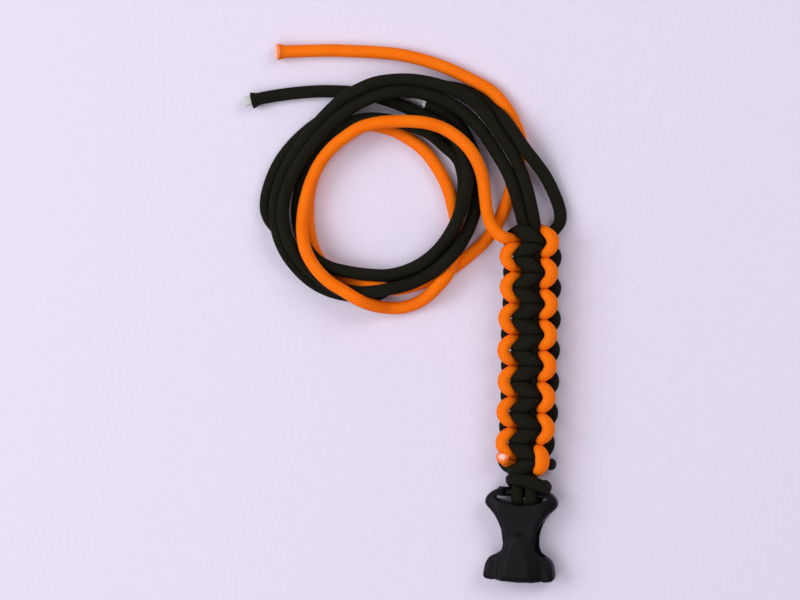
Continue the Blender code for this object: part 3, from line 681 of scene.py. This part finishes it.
tails = {}
for label, cord, finish, slot in (
    ("orange", orange, orange_braid, "orange_nylon"),
    ("black", black, black_braid, "black_nylon"),
):
    rings = [0, *(turn_ring(cord, split) for split in SPLITS), cord.woven - 1, len(cord.centres) - 1]
    for number, part, nodes in ((1, "lower", (1, 2)), (2, "middle", (3,)), (3, "upper", (4,))):
        piece = cord_mesh(f"{label}_weave_{part}", cord, finish, rings[number - 1], rings[number])
        across_bend(piece)
        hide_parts(*[f"{label}_knots_{node}" for node in nodes])
    tail = cord_mesh(f"{label}_tail_cord", cord, finish, rings[3], rings[4])
    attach(tail, "strap_top")
    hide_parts(f"{label}_tail")
    tails[label] = (tail, cord, rings[3])

piece = cord_mesh("core_cord_hitch", hitch, black_braid)
across_bend(piece)
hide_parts("cow_hitch", "core_strand_left_2", "core_strand_right_2")
for label, cord in (("left", core_left), ("right", core_right)):
    top = ring_near(cord, CORE_TOP)
    low = ring_near(cord, split_high)
    piece = cord_mesh(f"core_{label}_middle", cord, black_braid, 0, low)
    across_bend(piece)
    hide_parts(f"core_strand_{label}_3")
    piece = cord_mesh(f"core_{label}_upper", cord, black_braid, low, top)
    across_bend(piece)
    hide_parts(f"core_strand_{label}_4")
    tail = cord_mesh(f"core_{label}_tail_cord", cord, black_braid, top)
    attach(tail, "strap_top")
    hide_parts(f"core_tail_{label}")
    tails[label] = (tail, cord, top)


# ---------------------------------------------------------------- cord ends

def blob(name, centre, axis, sizes, material, lumps, seed, replaces, body):
    """A lumpy melted bead."""
    mesh = bmesh.new()
    bmesh.ops.create_icosphere(mesh, subdivisions=5, radius=1.0)
    turn = Vector((0, 0, 1)).rotation_difference(Vector(axis).normalized()).to_matrix()
    for vertex in mesh.verts:
        swell = 1 + lumps * noise.noise(vertex.co * 1.6 + Vector((seed, 0, 0)))
        swell += lumps * 0.5 * noise.noise(vertex.co * 3.7 + Vector((0, seed, 0)))
        x, y, z = vertex.co
        local = Vector((x * sizes[0], y * sizes[1], z * sizes[2])) * swell
        vertex.co = (turn @ local + Vector(centre)) * MM
    for face in mesh.faces:
        face.smooth = True
    data = bpy.data.meshes.new(name)
    mesh.to_mesh(data)
    mesh.free()
    made = bpy.data.objects.new(name, data)
    bpy.context.scene.collection.objects.link(made)
    made.data.materials.append(material)
    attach(made, body)
    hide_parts(replaces)
    return made


def tuft(name, centre, along, count, length, spread, seed, replaces):
    """Cut inner yarns that splay out of a cord's end."""
    generator = np.random.default_rng(seed)
    along = unit(np.array(along, float))
    side = unit(np.cross(along, [0, 0, 1]))
    rise = np.cross(side, along)
    vertices, faces, coordinates = [], [], []
    for index in range(count):
        angle = 2 * math.pi * (index + generator.uniform(-0.3, 0.3)) / count
        out = spread * generator.uniform(0.25, 1.0)
        root = centre - along * 0.8 + (side * math.cos(angle) + rise * math.sin(angle)) * 0.9
        reach = length * generator.uniform(0.6, 1.0)
        tip = root + along * reach + (side * math.cos(angle) + rise * math.sin(angle) * 0.6) * out
        middle = (root + tip) / 2
        bend = middle + rise * generator.uniform(-0.15, 0.35) + side * generator.uniform(-0.3, 0.3)
        tip[2] = max(tip[2], 0.35)
        path = smooth_route([root, bend, tip], 0.18)
        radius = np.linspace(0.5, 0.3, len(path))
        radius[-1] = 0.1
        yarn = Cord(path, None, radius, radius, 8)
        yarn.reach = np.minimum(yarn.base, 0.5)
        surface = path[:, None] + yarn.directions * yarn.reach[:, :, None]
        bottom = len(vertices)
        vertices += [tuple(p) for p in (surface.reshape(-1, 3) * MM)]
        top, tip_point = len(vertices) - 8, len(vertices) + 1
        vertices += [tuple(path[0] * MM), tuple(path[-1] * MM)]
        for ring in range(len(path) - 1):
            low = bottom + ring * 8
            for turn in range(8):
                following = (turn + 1) % 8
                faces.append((low + turn, low + following, low + 8 + following, low + 8 + turn))
                u0, u1, v0, v1 = turn / 8, (turn + 1) / 8, ring * 0.1, (ring + 1) * 0.1
                coordinates += [(u0, v0), (u1, v0), (u1, v1), (u0, v1)]
        for turn in range(8):
            following = (turn + 1) % 8
            faces.append((bottom + following, bottom + turn, tip_point - 1))
            faces.append((top + turn, top + following, tip_point))
            coordinates += [(0, 0)] * 6
    made = mesh_object(name, vertices, faces, white_yarn, coordinates)
    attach(made, "strap_top")
    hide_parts(replaces)
    return made


tip, along = orange.centres[-1], orange.tangents[-1]
face_material = melted_material(
    "melted_face", tuple((tip + along * 1.1) * MM), (0.95, 0.55, 0.42), (1.0, 0.27, 0.06), 2.9 * MM)
melted_face = blob(
    "orange_melted_face", tip + along * 0.2 + np.array([0, 0, 0.25]), along + np.array([0, 0, 0.42]),
    (2.85, 2.75, 0.75), face_material, 0.06, 3.0,
    "orange_tail_melted_end", "strap_top")

start = orange.centres[0]
bead_material = melted_material(
    "melted_bead", tuple((start + np.array([-0.1, 0.1, 1.7])) * MM), (0.95, 0.6, 0.52), (1.0, 0.2, 0.02),
    1.5 * MM)
blob(
    "orange_start_bead", start + np.array([0.0, 0.0, 0.1]), -orange.tangents[0], (2.2, 1.95, 1.2),
    bead_material, 0.13, 8.0,
    "orange_start_melted_end", "strap_bottom")

start = black.centres[0]
bead_material = melted_material(
    "melted_black_bead", tuple(start * MM), (0.008, 0.008, 0.006), (0.006, 0.006, 0.004), 2.0 * MM)
bead_shader = bead_material.node_tree.nodes["Principled BSDF"]
bead_shader.inputs["Specular IOR Level"].default_value = 0.12
bead_shader.inputs["Subsurface Weight"].default_value = 0.0
blob(
    "black_start_bead", start, -black.tangents[0], (1.95, 1.95, 1.6), bead_material, 0.1, 5.0,
    "black_start_melted_end", "strap_bottom")

for label, count, length, spread, node in (
    ("right", 12, 4.4, 1.3, "core_tail_right_yarns"),
    ("left", 6, 2.6, 0.7, "core_tail_left_yarns"),
    ("black", 6, 2.2, 0.5, "black_tail_yarns"),
):
    cord = tails[label][1]
    tuft(
        f"{label}_end_yarns", cord.centres[-1], cord.tangents[-1], count, length, spread, count * 7, node)

for label in ("orange", "black", "left", "right"):
    tail, cord, first = tails[label]


# ---------------------------------------------------------------- buckle

def outline_ring(outline, spacing):
    """A closed ring from the right half of a symmetric outline."""
    half = smooth_route([(x, y, 0.0) for x, y in outline], spacing)
    left = [(-x, y, 0.0) for x, y, _ in reversed(half) if x > 0.01]
    return np.array([*half, *left])


def pulled_in(ring, inset):
    """A ring moved inwards by a set distance."""
    along_ring = unit(np.roll(ring, -1, 0) - np.roll(ring, 1, 0))
    inward = np.stack([-along_ring[:, 1], along_ring[:, 0], 0 * along_ring[:, 0]], 1)
    return ring - inward * inset


def inset_rings(ring, insets):
    """A ring pulled in step by step, smoothed so that its corners never cross."""
    made, done = [], 0.0
    for inset in insets:
        for _ in range(5):
            ring = pulled_in(ring, (inset - done) / 5)
            if inset > 0:
                ring = (np.roll(ring, 1, 0) + 4 * ring + np.roll(ring, -1, 0)) / 6
        done = inset
        made.append(ring)
    return made


def stacked(name, rings):
    """A closed mesh from stacked rings of the same number of points."""
    count = len(rings[0][0])
    vertices = np.concatenate([
        np.concatenate([ring[:, :2], np.full((count, 1), z)], 1) for ring, z in rings])
    faces = []
    for level in range(len(rings) - 1):
        for index in range(count):
            following = (index + 1) % count
            low, high = level * count, (level + 1) * count
            faces.append((low + index, low + following, high + following, high + index))
    faces.append(tuple(reversed(range(count))))
    faces.append(tuple(range((len(rings) - 1) * count, len(rings) * count)))
    mesh = bpy.data.meshes.new(name)
    mesh.from_pydata([tuple(v) for v in vertices * MM], [], faces)
    work = bmesh.new()
    work.from_mesh(mesh)
    bmesh.ops.recalc_face_normals(work, faces=work.faces)
    work.to_mesh(mesh)
    work.free()
    made = bpy.data.objects.new(name, mesh)
    bpy.context.scene.collection.objects.link(made)
    return made


def round_bar():
    """The bar that the cord is hitched to."""
    place = Matrix.Translation((0, BAR_Y * MM, STRAP_MIDDLE_Z * MM)) @ Matrix.Rotation(math.pi / 2, 4, "Y")
    work = bmesh.new()
    bmesh.ops.create_cone(
        work, cap_ends=True, segments=40, radius1=BAR_RADIUS * MM, radius2=BAR_RADIUS * MM,
        depth=2 * BAR_HALF_LENGTH * MM, matrix=place)
    mesh = bpy.data.meshes.new("bar")
    work.to_mesh(mesh)
    work.free()
    made = bpy.data.objects.new("bar", mesh)
    bpy.context.scene.collection.objects.link(made)
    return made


def merged(target, other):
    """Both meshes in one; the remesh that follows turns them into one skin."""
    work = bmesh.new()
    work.from_mesh(target.data)
    work.from_mesh(other.data)
    work.to_mesh(target.data)
    work.free()
    bpy.data.objects.remove(other)


def applied(made, kind, **settings):
    """Put a modifier on a piece and keep its result as the piece's mesh."""
    modifier = made.modifiers.new("work", kind)
    for key, value in settings.items():
        setattr(modifier, key, value)
    bpy.context.view_layer.update()
    result = bpy.data.meshes.new_from_object(made.evaluated_get(bpy.context.evaluated_depsgraph_get()))
    made.modifiers.clear()
    made.data = result


def cut(target, other):
    """Take one shape out of another."""
    applied(target, "BOOLEAN", operation="DIFFERENCE", object=other)
    bpy.data.objects.remove(other)


def one_skin(made):
    """Remesh shapes that overlap into a single fine skin."""
    applied(made, "REMESH", mode="VOXEL", voxel_size=VOXEL * MM, use_smooth_shade=True)


def eased(value):
    return value * value * (3 - 2 * value)


def slope_shoulders(made):
    """Let the face fall away on both sides of the arch and round the frame's ears."""
    count = len(made.data.vertices)
    places = np.empty(count * 3, np.float32)
    made.data.vertices.foreach_get("co", places)
    places = places.reshape(-1, 3).astype(float) / MM
    side, down, height = np.abs(places[:, 0]), -places[:, 1], places[:, 2]
    arch_y = [-y for _, y in HUMP_OUTLINE]
    arch_x = [x for x, _ in HUMP_OUTLINE]
    beyond = np.clip((side - np.interp(down, arch_y, arch_x)) / 2.6, 0, 1)
    fall = 1.5 * eased(beyond) * eased(np.clip((down - 43) / 7, 0, 1))
    fall += 1.3 * eased(np.clip((side - 6.5) / 6, 0, 1)) * eased(np.clip((40 - down) / 6, 0, 1))
    fall += 0.9 * eased(np.clip((30.5 - down) / 3.2, 0, 1))
    places[:, 2] -= fall * np.clip((height - 4.5) / 4.5, 0, 1)
    places[:, 2] += 2.2 * eased(np.clip((38 - down) / 6, 0, 1)) * np.clip((4.5 - height) / 4.5, 0, 1)
    made.data.vertices.foreach_set("co", (places * MM).astype(np.float32).ravel())
    made.data.update()


def buckle_blank():
    """The socket's solid body, with rounded edges and the raised arch."""
    outline = outline_ring(BUCKLE_OUTLINE, 0.5)
    back = np.linspace(math.pi / 2, 0, 7)
    face = np.linspace(math.pi / 2, 0, 10)
    rings = list(zip(
        inset_rings(outline, BACK_ROUNDING * (1 - np.sin(back))), BACK_ROUNDING * (1 - np.cos(back))))[:0:-1]
    rings += list(zip(
        inset_rings(outline, FACE_ROUNDING * (1 - np.sin(face))),
        BUCKLE_THICKNESS - FACE_ROUNDING * (1 - np.cos(face))))
    body = stacked("buckle_body", rings)
    hump_rings = inset_rings(outline_ring(HUMP_OUTLINE, 0.4), (0, 0, 0.35, 1.0, 1.8))
    hump_levels = BUCKLE_THICKNESS + np.array([-2.6, -0.1, 0.4, 0.85, 1.05])
    merged(body, stacked("hump", list(zip(hump_rings, hump_levels))))
    one_skin(body)
    return body


def mouth_shape():
    """The rounded pocket that the plug would go into."""
    quarter = (0, math.pi / 2)
    points = []
    for side, level, rise, turn in (
        (1, MOUTH_LOW, -1, quarter), (-1, MOUTH_LOW, -1, quarter[::-1]),
        (-1, MOUTH_HIGH, 1, quarter), (1, MOUTH_HIGH, 1, quarter[::-1]),
    ):
        for angle in np.linspace(*turn, 5):
            x = side * (MOUTH_HALF_WIDTH - MOUTH_ROUNDING * (1 - math.cos(angle)))
            points.append((x, level + rise * MOUTH_ROUNDING * math.sin(angle), 0.0))
    ring = np.array(points)
    mouth = stacked("mouth", [(ring, 0.0), (ring, MOUTH_LENGTH)])
    mouth.data.transform(Matrix(((1, 0, 0, 0), (0, 0, 1, MOUTH_START * MM), (0, 1, 0, 0), (0, 0, 0, 1))))
    mouth.data.flip_normals()
    return mouth


def recess_shape(near, far):
    """A shallow recess with a squarish oval outline, on one side of the waist."""
    points = []
    for angle in np.linspace(0, 2 * math.pi, 40, endpoint=False) + 0.02:
        c, s = math.cos(angle), math.sin(angle)
        points.append((-44.4 + 4.9 * c * (abs(c) ** -0.6), 4.75 + 3.45 * s * (abs(s) ** -0.6), 0.0))
    ring = np.array(points)
    recess = stacked("recess", [(ring, near), (ring, far)])
    recess.data.transform(Matrix(((0, 0, 1, 0), (1, 0, 0, 0), (0, 1, 0, 0), (0, 0, 0, 1))))
    return recess


def buckle():
    body = buckle_blank()
    slope_shoulders(body)
    slot_ring = outline_ring(SLOT_OUTLINE, 0.5)
    cut(body, stacked("slot", [(slot_ring, -2), (slot_ring, 12)]))
    merged(body, round_bar())
    one_skin(body)
    cut(body, mouth_shape())
    for near, far in ((3.9, 14.0), (-14.0, -3.9)):
        cut(body, recess_shape(near, far))
    one_skin(body)
    applied(body, "SMOOTH", factor=0.5, iterations=5)
    pivot = Matrix.Translation((0.3 * MM, BAR_Y * MM, 0))
    body.data.transform(pivot @ Matrix.Rotation(BUCKLE_LEAN, 4, "Z") @ pivot.inverted())
    body.name = "buckle_socket_moulded"
    body.data.polygons.foreach_set("use_smooth", [True] * len(body.data.polygons))
    body.data.materials.clear()
    body.data.materials.append(acetal)
    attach(body, "buckle")
    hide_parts("buckle_socket")


buckle()


# ---------------------------------------------------------------- floor and light

def floor_material():
    made, tree, shader = new_material("pale_paper", (0.78, 0.73, 0.86), 0.9)
    shader.inputs["Specular IOR Level"].default_value = 0.15
    place = tree.nodes.new("ShaderNodeTexCoord")
    stretch = tree.nodes.new("ShaderNodeMapping")
    stretch.inputs["Scale"].default_value = (1, 0.35, 1)
    tree.links.new(place.outputs["Object"], stretch.inputs[0])
    fibres = noise_node(tree, stretch.outputs[0], 900, 4)
    mix_colours(tree, shader, fibres, (0.76, 0.71, 0.845), (0.82, 0.775, 0.9))
    return made


floor = mesh_object(
    "floor", [(-1.6, -1.4, -0.0002), (1.5, -1.4, -0.0002), (1.5, 1.6, -0.0002), (-1.6, 1.6, -0.0002)],
    [(0, 1, 2, 3)], floor_material())


def area_light(name, location, target, size, energy, colour):
    data = bpy.data.lights.new(name, "AREA")
    data.shape = "SQUARE"
    data.size = size
    data.energy = energy
    data.color = colour
    made = bpy.data.objects.new(name, data)
    bpy.context.scene.collection.objects.link(made)
    made.location = location
    aim = Vector(target) - Vector(location)
    made.rotation_euler = aim.to_track_quat("-Z", "Y").to_euler()


area_light("key", (0.62, 0.45, 0.75), (-0.02, 0.03, 0), 0.5, 3.1, (1.0, 0.985, 0.98))
area_light("fill", (-0.75, 0.15, 0.7), (-0.03, 0.03, 0), 0.7, 5.4, (0.97, 0.95, 1.0))
area_light("top", (-0.3, -0.5, 1.15), (-0.03, 0.0, 0), 0.8, 3.8, (1.0, 0.98, 1.0))

world = bpy.data.worlds.new("studio")
world.use_nodes = True
world.node_tree.nodes["Background"].inputs[0].default_value = (0.9, 0.88, 0.96, 1)
world.node_tree.nodes["Background"].inputs[1].default_value = 0.36
bpy.context.scene.world = world
bpy.context.scene.view_settings.view_transform = "Standard"
bpy.context.scene.view_settings.look = "None"
